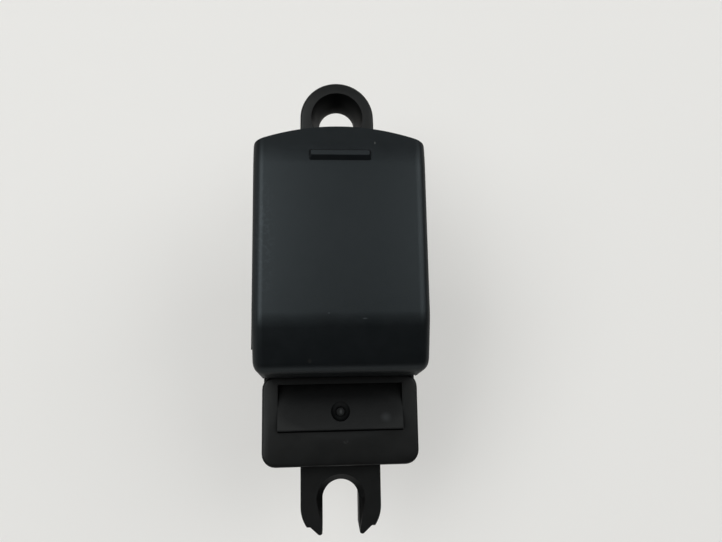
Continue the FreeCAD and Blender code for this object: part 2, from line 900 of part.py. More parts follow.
def shroud():
    """Connector shroud with two guide ribs at the sides and a catch on its far wall."""
    high = base_bottom_z + overlap / 2
    outer = plan_block(shroud_outline(0, shroud_corner_radius), 0, high)
    far = pivot_y + shroud_half_length
    sunk = far - shroud_wall / 4
    catch_top = catch_z + catch_height
    catch_corners = [
        (sunk, catch_z, 0),
        (far, catch_z, 0),
        (far + catch_rise, catch_top - catch_land, catch_edge_radius),
        (far + catch_rise, catch_top, 0),
        (sunk, catch_top, 0),
    ]
    catch = side_block(catch_corners, -catch_width / 2, catch_width / 2)
    root = shroud_half_width - shroud_wall / 4
    tip = shroud_half_width + shroud_rib_rise
    ribs = []
    for y in (pivot_y - shroud_half_length / 2, pivot_y + shroud_half_length / 2):
        half = shroud_rib_width / 2
        ribs += both_sides(box(root, tip, y - half, y + half, shroud_rib_start, high))
    inner_radius = max(shroud_corner_radius - shroud_wall, rim_corner_radius)
    mouth = plan_block(shroud_outline(shroud_wall, inner_radius), -overlap, shroud_floor_z)
    return fuse([outer, catch] + ribs).cut(mouth)


def base_rim():
    """Low wall that stands inside the case, slit beside each snap arm."""
    gap = case_wall + base_fit
    low = case_bottom_z - overlap / 2
    high = case_bottom_z + base_rim_height
    outer = plan_block(base_outline(gap, rim_corner_radius), low, high)
    inner = plan_block(base_outline(gap + base_rim_wall, 0), low - overlap, high + overlap)
    side = case_half_width - case_draft - gap
    inner_x = side - 2 * arm_thickness
    slits = []
    for y in arm_places():
        for edge in (y - arm_width / 2 - arm_slit, y + arm_width / 2):
            slit = box(inner_x, side + overlap, edge, edge + arm_slit, case_bottom_z, high + overlap)
            slits += both_sides(slit)
    return outer.cut([inner] + slits)


def make_base():
    """Bottom cover: plate, rim, contact deck, snap arms and connector shroud."""
    plate = plan_block(base_outline(0, case_corner_radius), base_bottom_z, case_bottom_z)
    deck_half_length = carrier_half_length - contact_deck_inset
    deck = box(
        -carrier_half_width,
        carrier_half_width,
        pivot_y - deck_half_length,
        pivot_y + deck_half_length,
        case_bottom_z - overlap / 2,
        pad_deck_z,
    )
    arms = []
    for y in arm_places():
        arms += both_sides(snap_arm(y))
    solid = fuse([plate, base_rim(), deck, shroud()] + arms)
    return solid.cut(terminal_slots()).removeSplitter()


def make_carrier():
    """Sliding block with runners, a slot for the stem's round end, and pockets for clips and springs."""
    low = carrier_low_z
    high = carrier_top_z
    near = pivot_y - carrier_half_length
    far = pivot_y + carrier_half_length
    body = plan_block(rectangle(carrier_half_width, near, far, carrier_corner, carrier_corner), low, high)
    runner = box(
        carrier_half_width - carrier_runner_width,
        carrier_half_width,
        near + carrier_corner,
        far - carrier_corner,
        pad_deck_z + carrier_runner_gap,
        low + overlap / 2,
    )
    body = fuse([body] + both_sides(runner))
    half = stem_end_radius + carrier_slot_gap
    wide = stem_half_width + stem_swing_gap
    cuts = [box(-wide, wide, pivot_y - half, pivot_y + half, low - overlap, high + overlap)]
    reach = clip_half_length + clip_pocket_gap
    across = clip_half_width + clip_pocket_gap
    pocket_top = clip_seat_z + clip_thickness + clip_pocket_gap
    pocket_radius = clip_spring_radius + clip_spring_clearance
    for x in (-clip_x, clip_x):
        left = x - across
        right = x + across
        cuts.append(box(left, right, pivot_y - reach, pivot_y + reach, low - overlap, pocket_top))
        cuts.append(upright(pocket_radius, low, clip_spring_top_z, x, pivot_y))
    for side in (-1, 1):
        y = pivot_y + side * (carrier_half_length - carrier_core_inset)
        core = carrier_core_half_length
        cuts.append(box(-wide, wide, y - core, y + core, low + carrier_core_floor, high + overlap))
    return body.cut(cuts)


def make_clip(x):
    """Sprung bridge: a flat back with a half-round toe under each end."""
    z = clip_seat_z
    t = clip_thickness
    r = clip_toe_radius
    low = x - clip_half_width
    high = x + clip_half_width
    parts = [box(low, high, pivot_y - clip_half_length, pivot_y + clip_half_length, z, z + t)]
    for y in (pivot_y - clip_toe_offset, pivot_y + clip_toe_offset):
        bend = crosswise(r, low, high, y, z + t - r)
        core = crosswise(r - t, low - overlap, high + overlap, y, z + t - r)
        upper = box(low - overlap, high + overlap, y - 2 * r, y + 2 * r, z, z + 2 * r)
        parts.append(bend.cut([core, upper]))
    return fuse(parts)


def make_clip_spring(x):
    low = clip_seat_z + clip_thickness + spring_end_gap
    high = clip_spring_top_z - spring_end_gap
    return coil(clip_spring_radius, clip_spring_wire_radius, clip_spring_turns, low, high, x, pivot_y)


def build():
    nodes = {}
    nodes["case"] = make_case()
    nodes["base"] = make_base()
    nodes["knob"] = make_knob()
    nodes["drive_stem"] = make_stem()
    places = blade_places()
    motor = (motor_pad_start, motor_pad_end)
    master = (master_pad_start, master_pad_end)
    for name, (start, end), side in (
        ("terminal_motor_up", motor, -1),
        ("terminal_master_up", master, 1),
        ("terminal_motor_down", motor, 1),
        ("terminal_master_down", master, -1),
    ):
        x, y = places[name]
        limits = sorted((pivot_y + side * start, pivot_y + side * end))
        nodes[name] = make_side_terminal(math.copysign(1, x), y, limits[0], limits[1])
    nodes["terminal_battery"] = make_battery_terminal()
    nodes["contact_carrier"] = make_carrier()
    for name, side in (("left", -1), ("right", 1)):
        nodes["contact_clip_" + name] = make_clip(side * clip_x)
        nodes["clip_spring_" + name] = make_clip_spring(side * clip_x)
    for name, side in (("near", -1), ("far", 1)):
        y = pivot_y + side * plunger_offset
        nodes["plunger_" + name] = make_plunger(y)
        nodes["return_spring_" + name] = make_return_spring(y)
    return nodes


def main():
    os.makedirs("parts", exist_ok=True)
    for name, shape in build().items():
        solids = shape.Solids
        if len(solids) == 1:
            shape = solids[0]
        shape.exportStep("parts/" + name + ".step")
        b = shape.BoundBox
        limits = (b.XMin, b.XMax, b.YMin, b.YMax, b.ZMin, b.ZMax)
        print(name, "solids", len(solids), "valid", shape.isValid(), "volume %.1f" % shape.Volume)
        print("    x %.2f %.2f  y %.2f %.2f  z %.2f %.2f" % limits)


main()
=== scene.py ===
import json
import logging
import math
from dataclasses import dataclass
from enum import Enum
from typing import Callable

import bmesh
import bpy
from mathutils import Euler, Matrix, Vector

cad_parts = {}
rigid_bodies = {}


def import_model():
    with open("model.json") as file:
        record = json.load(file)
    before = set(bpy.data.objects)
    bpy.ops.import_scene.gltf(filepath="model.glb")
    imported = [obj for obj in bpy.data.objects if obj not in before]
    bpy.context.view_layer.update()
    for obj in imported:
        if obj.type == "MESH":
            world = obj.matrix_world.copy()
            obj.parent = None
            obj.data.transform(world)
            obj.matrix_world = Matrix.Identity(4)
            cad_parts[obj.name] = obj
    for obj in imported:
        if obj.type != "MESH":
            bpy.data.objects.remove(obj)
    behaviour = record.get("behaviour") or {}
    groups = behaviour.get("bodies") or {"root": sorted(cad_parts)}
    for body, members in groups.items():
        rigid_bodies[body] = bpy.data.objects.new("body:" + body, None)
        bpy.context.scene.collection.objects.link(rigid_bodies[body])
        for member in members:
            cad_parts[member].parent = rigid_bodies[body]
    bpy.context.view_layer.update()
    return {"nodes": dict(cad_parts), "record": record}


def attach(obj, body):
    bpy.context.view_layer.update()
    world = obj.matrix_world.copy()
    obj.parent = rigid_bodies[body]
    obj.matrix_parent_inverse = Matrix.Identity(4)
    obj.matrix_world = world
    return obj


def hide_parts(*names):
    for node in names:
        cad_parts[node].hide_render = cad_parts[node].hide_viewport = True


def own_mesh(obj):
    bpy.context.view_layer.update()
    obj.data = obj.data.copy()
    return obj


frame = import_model()
# Metres in a millimetre. The rest is in millimetres: how far a solid that is cut away or added reaches
# past a face, a long and a short way, how near counts as on a face, and how near two corners merge.
MM = 0.001
FAR_PAST = 3.0
PAST = 1.0
HAIR = 1e-3
WELD = 1e-4
log = logging.getLogger("window_switch")

Pair = tuple[float, float]
Triple = tuple[float, float, float]
Colour = tuple[float, float, float]
Socket = bpy.types.NodeSocket
Inputs = dict[str | int, object]
Thing = bpy.types.Object


class Slot(Enum):
    """The part's material slots, by what is made of them."""

    KNOB = "knob_plastic"
    CASE = "case_plastic"
    BASE = "base_plastic"
    ACETAL = "acetal"
    STRIP = "plated_brass"
    COPPER = "spring_copper"
    WIRE = "spring_steel"


@dataclass(frozen=True)
class Mark:
    """A worn or dusty place, a painted highlight or painted shade on a moulding, in millimetres from the
    origin.

    It is at full strength over a core, given as a share of its size. Specks break it up, and matt is what it
    adds to the roughness.
    """

    at: Triple
    size: Triple
    colour: Colour
    strength: float = 1.0
    core: float = 0.5
    speck: float = 0.0
    matt: float = 0.0


class Shader:
    """A material's node tree, with short calls for adding and joining nodes."""

    # Nearly all of a noise lies in the first range; specks stretch it to the second, so that few show.
    NOISE_RANGE: Pair = (0.3, 0.7)
    SPECK_RANGE: Pair = (-1.2, 1.6)

    def __init__(self, name: str) -> None:
        """Starts an empty tree with a surface shader and Object coordinates.

        Args:
            name: the material's name.
        """
        self.material = bpy.data.materials.new(name)
        self.material.use_nodes = True
        self.tree = self.material.node_tree
        self.surface = self.tree.nodes["Principled BSDF"]
        self.place = self.add("ShaderNodeTexCoord").outputs["Object"]

    def add(self, kind: str, inputs: Inputs | None = None, **settings: object) -> bpy.types.Node:
        """Adds a node.

        Args:
            kind: Blender's name for the node.
            inputs: values of its own inputs, by name or number.
            settings: properties of the node, by name.

        Returns:
            The new node.
        """
        node = self.tree.nodes.new(kind)
        for key, value in settings.items():
            setattr(node, key, value)
        for key, value in (inputs or {}).items():
            node.inputs[key].default_value = value
        return node

    def join(self, source: Socket, target: Socket) -> None:
        """Links an output to an input."""
        self.tree.links.new(source, target)

    def noise(self, size: float, detail: float = 2.0, rough: float = 0.5) -> Socket:
        """Makes a soft random pattern on Object coordinates.

        Args:
            size: how wide its patches are, in metres.
            detail: octaves of finer pattern.
            rough: strength of the finer octaves.

        Returns:
            The pattern's value, about 0.5 on average.
        """
        node = self.add("ShaderNodeTexNoise", {"Scale": 1.0 / size, "Detail": detail, "Roughness": rough})
        self.join(self.place, node.inputs["Vector"])
        return node.outputs["Fac"]

    def spread(self, value: Socket, low: float, high: float) -> Socket:
        """Maps a pattern's middle range onto low..high.

        Args:
            value: the pattern.
            low: result at the low end of NOISE_RANGE.
            high: result at its high end.

        Returns:
            The mapped value.
        """
        start, end = self.NOISE_RANGE
        limits = {"From Min": start, "From Max": end, "To Min": low, "To Max": high}
        node = self.add("ShaderNodeMapRange", limits)
        self.join(value, node.inputs["Value"])
        return node.outputs["Result"]

    def blend(self, amount: Socket, first: Colour | Socket, second: Colour) -> Socket:
        """Mixes two colours by a pattern.

        Args:
            amount: 0 for the first colour, 1 for the second.
            first: linear red, green and blue, or the output that gives them.
            second: linear red, green and blue.

        Returns:
            The mixed colour.
        """
        node = self.add("ShaderNodeMix", {7: (*second, 1.0)}, data_type="RGBA")
        if isinstance(first, tuple):
            node.inputs[6].default_value = (*first, 1.0)
        else:
            self.join(first, node.inputs[6])
        self.join(amount, node.inputs[0])
        return node.outputs[2]

    def within(self, mark: Mark) -> Socket:
        """Masks a mark on the surface, by place.

        Args:
            mark: where it is and how it fades.

        Returns:
            Its strength in the middle, 0 outside.
        """
        offset = self.add("ShaderNodeVectorMath", {1: [v * MM for v in mark.at]}, operation="SUBTRACT")
        share = self.add("ShaderNodeVectorMath", {1: [v * MM for v in mark.size]}, operation="DIVIDE")
        length = self.add("ShaderNodeVectorMath", operation="LENGTH")
        self.join(self.place, offset.inputs[0])
        self.join(offset.outputs["Vector"], share.inputs[0])
        self.join(share.outputs["Vector"], length.inputs[0])
        limits = {"From Min": mark.core, "From Max": 1.0, "To Min": mark.strength, "To Max": 0.0}
        fade = self.add("ShaderNodeMapRange", limits)
        self.join(length.outputs["Value"], fade.inputs["Value"])
        if not mark.speck:
            return fade.outputs["Result"]
        specks = self.spread(self.noise(mark.speck * MM, detail=1.0), *self.SPECK_RANGE)
        return self.calculate("MULTIPLY", fade.outputs["Result"], specks)

    def calculate(self, operation: str, *values: Socket | float) -> Socket:
        """Works out a value from others.

        Args:
            operation: Blender's name for what is done.
            values: outputs or plain numbers, in the order of the node's inputs.

        Returns:
            The result.
        """
        node = self.add("ShaderNodeMath", operation=operation)
        for socket, value in zip(node.inputs, values):
            if isinstance(value, (int, float)):
                socket.default_value = value
            else:
                self.join(value, socket)
        return node.outputs["Value"]

    def openness(self, reach: float, depth: float) -> Socket:
        """Measures how open the surface lies, for painted shade that dims the sheen in corners.

        Args:
            reach: how far walls count, in metres.
            depth: power that deepens the corners.

        Returns:
            1 on open faces, toward 0 in corners.
        """
        node = self.add("ShaderNodeAmbientOcclusion", {"Distance": reach}, samples=8)
        return self.calculate("POWER", node.outputs["AO"], depth)

    def bump(self, height: Socket, depth: float, strength: float) -> None:
        """Roughens the surface's normal.

        Args:
            height: the pattern that stands for height.
            depth: height of the pattern's full range, in metres.
            strength: share of the effect that is kept.
        """
        node = self.add("ShaderNodeBump", {"Distance": depth, "Strength": strength})
        self.join(height, node.inputs["Height"])
        self.join(node.outputs["Normal"], self.surface.inputs["Normal"])


@dataclass(frozen=True)
class MouldedPlastic:
    """Matt moulded plastic with a fine spark-eroded grain.

    Colours are linear; sizes are in millimetres.
    """

    name: str
    colour: Colour
    worn: Colour
    sheen_tint: Colour
    roughness: float
    shine: float
    grain: float
    grain_depth: float
    patch: float
    uneven: float = 0.02
    corner_reach: float = 0.0
    corner_power: float = 1.7
    marks: tuple[Mark, ...] = ()

    def material(self) -> bpy.types.Material:
        """Builds the material.

        Returns:
            The finished material.
        """
        shader = Shader(self.name)
        surface = shader.surface
        patches = shader.noise(self.patch * MM, detail=3.0, rough=0.55)
        colour = shader.blend(shader.spread(patches, 0.0, 1.0), self.colour, self.worn)
        rough = shader.spread(patches, self.roughness - self.uneven, self.roughness + self.uneven)
        # Marks lay worn spots, dust specks, painted highlights and painted shade into the colour.
        for mark in self.marks:
            inside = shader.within(mark)
            colour = shader.blend(inside, colour, mark.colour)
            if mark.matt:
                rough = shader.calculate("MULTIPLY_ADD", inside, mark.matt, rough)
        shader.join(colour, surface.inputs["Base Color"])
        shader.join(rough, surface.inputs["Roughness"])
        surface.inputs["Specular IOR Level"].default_value = self.shine
        # Painted shade: the sheen is dimmed in corners and beside walls by how open the surface lies.
        if self.corner_reach:
            openness = shader.openness(self.corner_reach * MM, self.corner_power)
            shine = shader.calculate("MULTIPLY", openness, self.shine)
            shader.join(shine, surface.inputs["Specular IOR Level"])
        surface.inputs["Specular Tint"].default_value = (*self.sheen_tint, 1.0)
        grain = shader.noise(self.grain * MM, detail=2.0, rough=0.6)
        shader.bump(grain, self.grain_depth * MM, strength=0.6)
        return shader.material


@dataclass(frozen=True)
class DrawnMetal:
    """Strip or wire with faint marks from rolling or drawing; sizes are in millimetres."""

    name: str
    colour: Colour
    dull: Colour
    roughness: float
    uneven: Pair = (-0.06, 0.08)
    patch: float = 1.5
    grain: float = 0.2
    grain_depth: float = 0.004

    def material(self) -> bpy.types.Material:
        """Builds the material.

        Returns:
            The finished material.
        """
        shader = Shader(self.name)
        surface = shader.surface
        surface.inputs["Metallic"].default_value = 1.0
        patches = shader.noise(self.patch * MM, detail=3.0)
        colour = shader.blend(shader.spread(patches, 0.0, 1.0), self.colour, self.dull)
        shader.join(colour, surface.inputs["Base Color"])
        rough = shader.spread(patches, *(self.roughness + change for change in self.uneven))
        shader.join(rough, surface.inputs["Roughness"])
        shader.bump(shader.noise(self.grain * MM), self.grain_depth * MM, strength=0.5)
        return shader.material


KNOB_MARKS = (
    # Painted highlight with dust specks: the knob's left top edge made lighter where side light catches it,
    # and more matt.
    Mark((-10.3, 6.5, 42.5), (2.0, 10.5, 3.0), (0.0173, 0.0207, 0.024), 0.42, 0.1, 0.42),
    Mark((4.78, 19.55, 42.4), (0.12, 0.24, 1.0), (0.0667, 0.07, 0.0667)),
    Mark((3.01, -4.42, 42.7), (0.40, 0.10, 1.0), (0.0333, 0.0367, 0.04)),
    Mark((-1.68, -3.67, 43.0), (0.20, 0.12, 1.0), (0.02, 0.022, 0.024)),
    Mark((-4.21, -9.81, 40.6), (0.34, 0.45, 1.5), (0.0133, 0.0133, 0.012)),
)
CASE_MARKS = (
    # Painted shade over the pad, which lies in the knob's shade; it also makes the pad more matt.
    Mark((0.0, -17.2, 31.5), (11.4, 4.3, 2.2), (0.0014, 0.0016, 0.0018), 1.0, 0.72, matt=0.24),
    # Painted highlight on the top of the gate mark's nub.
    Mark((0.05, -17.4, 31.6), (0.26, 0.42, 0.8), (0.0367, 0.04, 0.0387), 1.0, 0.3),
    Mark((6.65, -18.3, 31.9), (0.95, 0.85, 1.0), (0.0213, 0.0233, 0.0247), 1.0, 0.1),
    Mark((0.75, -21.77, 31.4), (0.45, 0.35, 1.0), (0.02, 0.02, 0.02), 1.0, 0.2, 0.25),
)
FINISHES = {
    Slot.KNOB: MouldedPlastic(
        "knob_plastic", (0.0021, 0.0027, 0.0031), (0.0031, 0.0037, 0.0042), (0.80, 0.94, 1.0),
        roughness=0.40, shine=0.37, grain=0.16, grain_depth=0.012, patch=2.2, marks=KNOB_MARKS,
    ),
    Slot.CASE: MouldedPlastic(
        "case_plastic", (0.0020, 0.0021, 0.0021), (0.0030, 0.0031, 0.0031), (0.96, 1.0, 0.99),
        roughness=0.40, shine=0.33, grain=0.14, grain_depth=0.010, patch=2.0, corner_reach=9.0,
        marks=CASE_MARKS,
    ),
    Slot.BASE: MouldedPlastic(
        "base_plastic", (0.0034, 0.0035, 0.0036), (0.0046, 0.0047, 0.0048), (1.0, 1.0, 1.0),
        roughness=0.42, shine=0.36, grain=0.14, grain_depth=0.008, patch=2.5,
    ),
    Slot.ACETAL: MouldedPlastic(
        "acetal", (0.62, 0.60, 0.55), (0.68, 0.66, 0.61), (1.0, 1.0, 1.0),
        roughness=0.34, shine=0.50, grain=0.30, grain_depth=0.004, patch=1.5,
    ),
    Slot.STRIP: DrawnMetal("plated_brass", (0.70, 0.69, 0.66), (0.60, 0.58, 0.54), 0.30),
    Slot.COPPER: DrawnMetal("spring_copper", (0.72, 0.42, 0.26), (0.62, 0.34, 0.20), 0.30),
    Slot.WIRE: DrawnMetal("spring_steel", (0.52, 0.52, 0.53), (0.44, 0.44, 0.45), 0.28),
}
Palette = dict[Slot, bpy.types.Material]


def placed(name: str, data: bpy.types.ID) -> Thing:
    """Adds an object to the scene.

    Args:
        name: the object's name.
        data: its mesh, lamp or camera.

    Returns:
        The object, at the origin.
    """
    thing = bpy.data.objects.new(name, data)
    bpy.context.scene.collection.objects.link(thing)
    return thing


class Plane(Enum):
    """How a flat outline lies: the axes of its u and v, then the axis of its thickness."""

    PLAN = (0, 1, 2)
    SIDE = (1, 2, 0)
    SECTION = (0, 2, 1)

    def place(self, u: float, v: float, w: float) -> Vector:
        """Puts a point of the outline in space.

        Args:
            u: first coordinate on the outline.
            v: second coordinate on the outline.
            w: place along the thickness.

        Returns:
            The point.
        """
        point = Vector((0.0, 0.0, 0.0))
        for axis, value in zip(self.value, (u, v, w)):
            point[axis] = value
        return point


@dataclass(frozen=True)
class Corner:
    """A corner of a flat outline, in millimetres; the radius rounds it in that many steps."""

    u: float
    v: float
    radius: float = 0.0
    steps: int = 6


class Join(Enum):
    """What one solid does to another."""

    ADD = "UNION"
    CUT = "DIFFERENCE"
    KEEP = "INTERSECT"


class Form:
    """A closed mesh in the making, in millimetres."""

    def __init__(self) -> None:
        """Starts empty."""
        self.net = bmesh.new()

    @classmethod
    def block(cls, corners: list[Corner], plane: Plane, low: float, high: float) -> "Form":
        """Rounds an outline's corners and extrudes it.

        Args:
            corners: the outline, in order.
            plane: how the outline lies.
            low: start of the thickness.
            high: end of the thickness.

        Returns:
            The solid.
        """
        form = cls()
        verts = [form.net.verts.new(plane.place(c.u, c.v, low)) for c in corners]
        form.net.faces.new(verts)
        for i, corner in enumerate(corners):
            if corner.radius <= 0:
                continue
            here = Vector((corner.u, corner.v))
            before, after = corners[i - 1], corners[(i + 1) % len(corners)]
            back = Vector((before.u, before.v)) - here
            ahead = Vector((after.u, after.v)) - here
            setback = corner.radius / math.tan(back.angle(ahead) / 2)
            bmesh.ops.bevel(
                form.net, geom=[verts[i]], offset=setback, offset_type="OFFSET", segments=corner.steps,
                profile=0.5, affect="VERTICES", material=-1,
            )
        form.raise_faces(list(form.net.faces), plane.place(0, 0, high - low))
        return form

    @classmethod
    def turned(
        cls, radius: float, low: float, high: float, at: Pair, plane: Plane, steps: int = 48,
        end_radius: float | None = None,
    ) -> "Form":
        """Makes a cylinder or a cone.

        Args:
            radius: its radius, at the low end if it is a cone.
            low: start along the plane's thickness.
            high: end along the plane's thickness.
            at: its middle on the plane's u and v.
            plane: the plane that it stands square to.
            steps: faces round it.
            end_radius: a cone's radius at the high end.

        Returns:
            The solid.
        """
        form = cls()
        end = radius if end_radius is None else end_radius
        bmesh.ops.create_cone(
            form.net, cap_ends=True, cap_tris=False, segments=steps, radius1=radius, radius2=end,
            depth=high - low,
        )
        axis = plane.place(0, 0, 1)
        turn = Vector((0, 0, 1)).rotation_difference(axis).to_matrix().to_4x4()
        middle = plane.place(at[0], at[1], (low + high) / 2)
        bmesh.ops.transform(form.net, matrix=Matrix.Translation(middle) @ turn, verts=form.net.verts)
        return form

    def raise_faces(self, faces: list[bmesh.types.BMFace], way: Vector) -> list[bmesh.types.BMVert]:
        """Extrudes faces and turns every face outward.

        Args:
            faces: the faces to extrude.
            way: how far and which way.

        Returns:
            The moved corners.
        """
        grown = bmesh.ops.extrude_face_region(self.net, geom=faces)
        moved = [g for g in grown["geom"] if isinstance(g, bmesh.types.BMVert)]
        bmesh.ops.translate(self.net, vec=way, verts=moved)
        bmesh.ops.recalc_face_normals(self.net, faces=self.net.faces)
        return moved

    def round_edges(self, pick: Callable[[Vector, Vector], bool], radius: float, steps: int) -> "Form":
        """Rounds the edges whose two ends satisfy a test.

        Args:
            pick: takes an edge's two ends and says whether it is rounded.
            radius: how far the rounding reaches on each side.
            steps: faces across it.

        Returns:
            The same form.
        """
        edges = [e for e in self.net.edges if pick(e.verts[0].co, e.verts[1].co)]
        bmesh.ops.bevel(
            self.net, geom=edges, offset=radius, offset_type="OFFSET", segments=steps, profile=0.5,
            affect="EDGES", clamp_overlap=False, material=-1,
        )
        return self

    def mirrored(self) -> "Form":
        """Copies the form to the other side of X = 0.

        Returns:
            The copy.
        """
        twin = Form()
        twin.net = self.net.copy()
        bmesh.ops.scale(twin.net, vec=(-1, 1, 1), verts=twin.net.verts)
        bmesh.ops.reverse_faces(twin.net, faces=twin.net.faces)
        return twin

    def both(self) -> list["Form"]:
        """Gives the form and its mirror image."""
        return [self.mirrored(), self]

    def mesh(self, name: str) -> bpy.types.Mesh:
        """Turns the form into a mesh and frees it.

        Args:
            name: the mesh's name.

        Returns:
            The mesh, still in millimetres.
        """
        mesh = bpy.data.meshes.new(name)
        self.net.to_mesh(mesh)
        self.net.free()
        return mesh

    def joined(self, tools: list["Form"], how: Join) -> "Form":
        """Adds solids to this one, cuts them from it, or keeps what it shares with them.

        Args:
            tools: the other solids; they are used up.
            how: what they do to it.

        Returns:
            The new solid.
        """
        bench = bpy.data.collections.new("bench")
        bpy.context.scene.collection.children.link(bench)
        body = placed("blank", self.mesh("blank"))
        for tool in tools:
            bench.objects.link(bpy.data.objects.new("tool", tool.mesh("tool")))
        step = body.modifiers.new("join", "BOOLEAN")
        step.operand_type = "COLLECTION"
        step.collection = bench
        step.operation = how.value
        step.solver = "EXACT"
        bpy.context.view_layer.update()
        result = Form()
        result.net.from_mesh(body.evaluated_get(bpy.context.evaluated_depsgraph_get()).to_mesh())
        for thing in [body, *bench.objects]:
            bpy.data.objects.remove(thing)
        bpy.data.collections.remove(bench)
        bmesh.ops.remove_doubles(result.net, verts=result.net.verts, dist=WELD)
        return result

    def piece(self, name: str, edge_radius: float = 0.12, smooth_angle: float = 32.0) -> Thing:
        """Finishes the form as an object, with its edges eased and its flats kept flat.

        Args:
            name: the piece's name.
            edge_radius: rounding of every sharp edge, in millimetres.
            smooth_angle: edges that turn less than this many degrees are shaded smooth.

        Returns:
            The object, in metres, at the origin.
        """
        bmesh.ops.scale(self.net, vec=(MM, MM, MM), verts=self.net.verts)
        mesh = self.mesh(name)
        mesh.shade_smooth()
        mesh.set_sharp_from_angle(angle=math.radians(smooth_angle))
        thing = placed(name, mesh)
        ease = thing.modifiers.new("eased_edges", "BEVEL")
        ease.width = edge_radius * MM
        ease.segments = 2
        ease.limit_method = "ANGLE"
        ease.angle_limit = math.radians(smooth_angle)
        ease.harden_normals = True
        return thing


def crossing(p: Pair, p_turn: float, q: Pair, q_turn: float) -> Pair:
    """Finds where two lines of the side view meet.

    Args:
        p: a point of the first line.
        p_turn: its angle from +Y toward +Z, in degrees.
        q: a point of the second line.
        q_turn: its angle.

    Returns:
        The meeting point's Y and Z.
    """
    du, dv = math.cos(math.radians(p_turn)), math.sin(math.radians(p_turn))
    eu, ev = math.cos(math.radians(q_turn)), math.sin(math.radians(q_turn))
    along = ((q[0] - p[0]) * ev - (q[1] - p[1]) * eu) / (du * ev - dv * eu)
    return (p[0] + du * along, p[1] + dv * along)


def rectangle(half: float, near: float, far: float, radius: float = 0.0) -> list[Corner]:
    """Gives a plan outline that is even about X = 0.

    Args:
        half: half its width.
        near: its lowest Y.
        far: its highest Y.
        radius: radius of its corners.

    Returns:
        The four corners, in order.
    """
    return [Corner(u, v, radius) for u, v in ((-half, near), (half, near), (half, far), (-half, far))]


